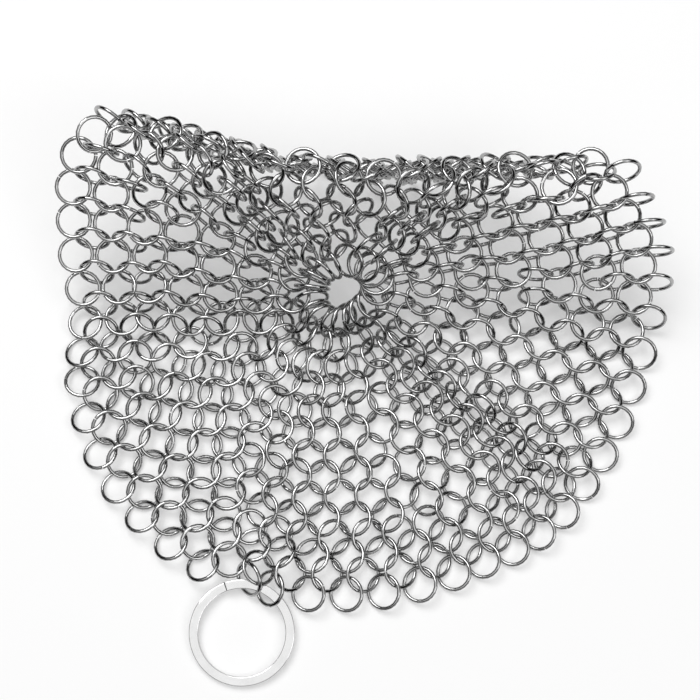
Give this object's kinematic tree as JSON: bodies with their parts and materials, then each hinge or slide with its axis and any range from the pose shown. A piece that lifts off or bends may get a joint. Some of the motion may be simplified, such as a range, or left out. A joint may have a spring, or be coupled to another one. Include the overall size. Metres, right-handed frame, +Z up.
{
  "type": "pot scrubber",
  "caption": "Round chain mail scrubber of linked wire rings, half lying flat and half raised, with a flat split ring on its edge.",
  "frame": {"origin": "centre of the box round the scrubber, on the floor", "axes": "+Z up, +Y over the raised half, +X to the right with the split ring at the front left"},
  "size_m": [0.1648, 0.1488, 0.0473],
  "materials": {
    "steel": "polished",
    "key": "polished"
  },
  "bodies": {
    "mail": {"round_1_front": "steel", "round_1_back": "steel", "round_2_front": "steel", "round_2_back": "steel", "round_3_front": "steel", "round_3_back": "steel", "round_4_front": "steel", "round_4_back": "steel", "round_5_front": "steel", "round_5_back": "steel", "round_6_front": "steel", "round_6_back": "steel", "round_7_front": "steel", "round_7_back": "steel", "round_8_front": "steel", "round_8_back": "steel", "round_9_front": "steel", "round_9_back": "steel", "round_10_front": "steel", "round_10_back": "steel", "round_11_front": "steel", "round_11_back": "steel", "round_12_front": "steel", "round_12_back": "steel", "round_13_front": "steel", "round_13_back": "steel", "round_14_front": "steel", "round_14_back": "steel"},
    "split_ring": {"key_ring": "key"},
    "link_1": {"link_ring_1": "steel"},
    "link_2": {"link_ring_2": "steel"},
    "loose_1": {"loose_ring_1": "steel"},
    "loose_2": {"loose_ring_2": "steel"},
    "loose_3": {"loose_ring_3": "steel"},
    "loose_4": {"loose_ring_4": "steel"},
    "loose_5": {"loose_ring_5": "steel"},
    "loose_6": {"loose_ring_6": "steel"},
    "loose_7": {"loose_ring_7": "steel"},
    "loose_8": {"loose_ring_8": "steel"}
  },
  "joints": [
    {"name": "key_ring_swing", "type": "hinge", "parent": "mail", "child": "split_ring", "pos_m": [-0.02736, -0.04902, 0.00276], "axis": [-0.8751, 0.4758, 0.0881], "range_deg": [0, 95]},
    {"name": "link_ring_1_turn", "type": "hinge", "parent": "mail", "child": "link_1", "pos_m": [-0.03074, -0.04634, 0.00408], "axis": [-0.7283, -0.293, 0.6194], "continuous": true},
    {"name": "link_ring_2_turn", "type": "hinge", "parent": "mail", "child": "link_2", "pos_m": [-0.02517, -0.04888, 0.00345], "axis": [-0.6422, -0.0049, 0.7665], "continuous": true},
    {"name": "loose_ring_1_flip", "type": "hinge", "parent": "mail", "child": "loose_1", "pos_m": [-0.07245, 0.02463, 0.00424], "axis": [-0.6296, 0.7159, -0.3018], "range_deg": [0, 45]},
    {"name": "loose_ring_2_flip", "type": "hinge", "parent": "mail", "child": "loose_2", "pos_m": [0.0549, -0.02039, 0.00152], "axis": [-0.0597, -0.5167, -0.8541], "range_deg": [0, 35]},
    {"name": "loose_ring_3_flip", "type": "hinge", "parent": "mail", "child": "loose_3", "pos_m": [0.07281, 0.02501, 0.00722], "axis": [0.0583, -0.3967, -0.9161], "range_deg": [0, 25]},
    {"name": "loose_ring_4_flip", "type": "hinge", "parent": "mail", "child": "loose_4", "pos_m": [0.06084, 0.05379, 0.04117], "axis": [-0.6187, 0.7582, 0.2058], "range_deg": [0, 95]},
    {"name": "loose_ring_5_flip", "type": "hinge", "parent": "mail", "child": "loose_5", "pos_m": [-0.0283, 0.06451, 0.01658], "axis": [-0.524, 0.7336, 0.4328], "range_deg": [-5, 30]},
    {"name": "loose_ring_6_flip", "type": "hinge", "parent": "mail", "child": "loose_6", "pos_m": [-0.04387, 0.06789, 0.02352], "axis": [-0.5469, 0.7554, 0.3609], "range_deg": [-30, 35]},
    {"name": "loose_ring_7_flip", "type": "hinge", "parent": "mail", "child": "loose_7", "pos_m": [-0.05771, 0.0694, 0.03122], "axis": [0.419, -0.622, -0.6615], "range_deg": [-30, 35]},
    {"name": "loose_ring_8_flip", "type": "hinge", "parent": "mail", "child": "loose_8", "pos_m": [-0.06795, 0.06231, 0.0382], "axis": [0.326, 0.9415, 0.0852], "range_deg": [0, 60]}
  ]
}
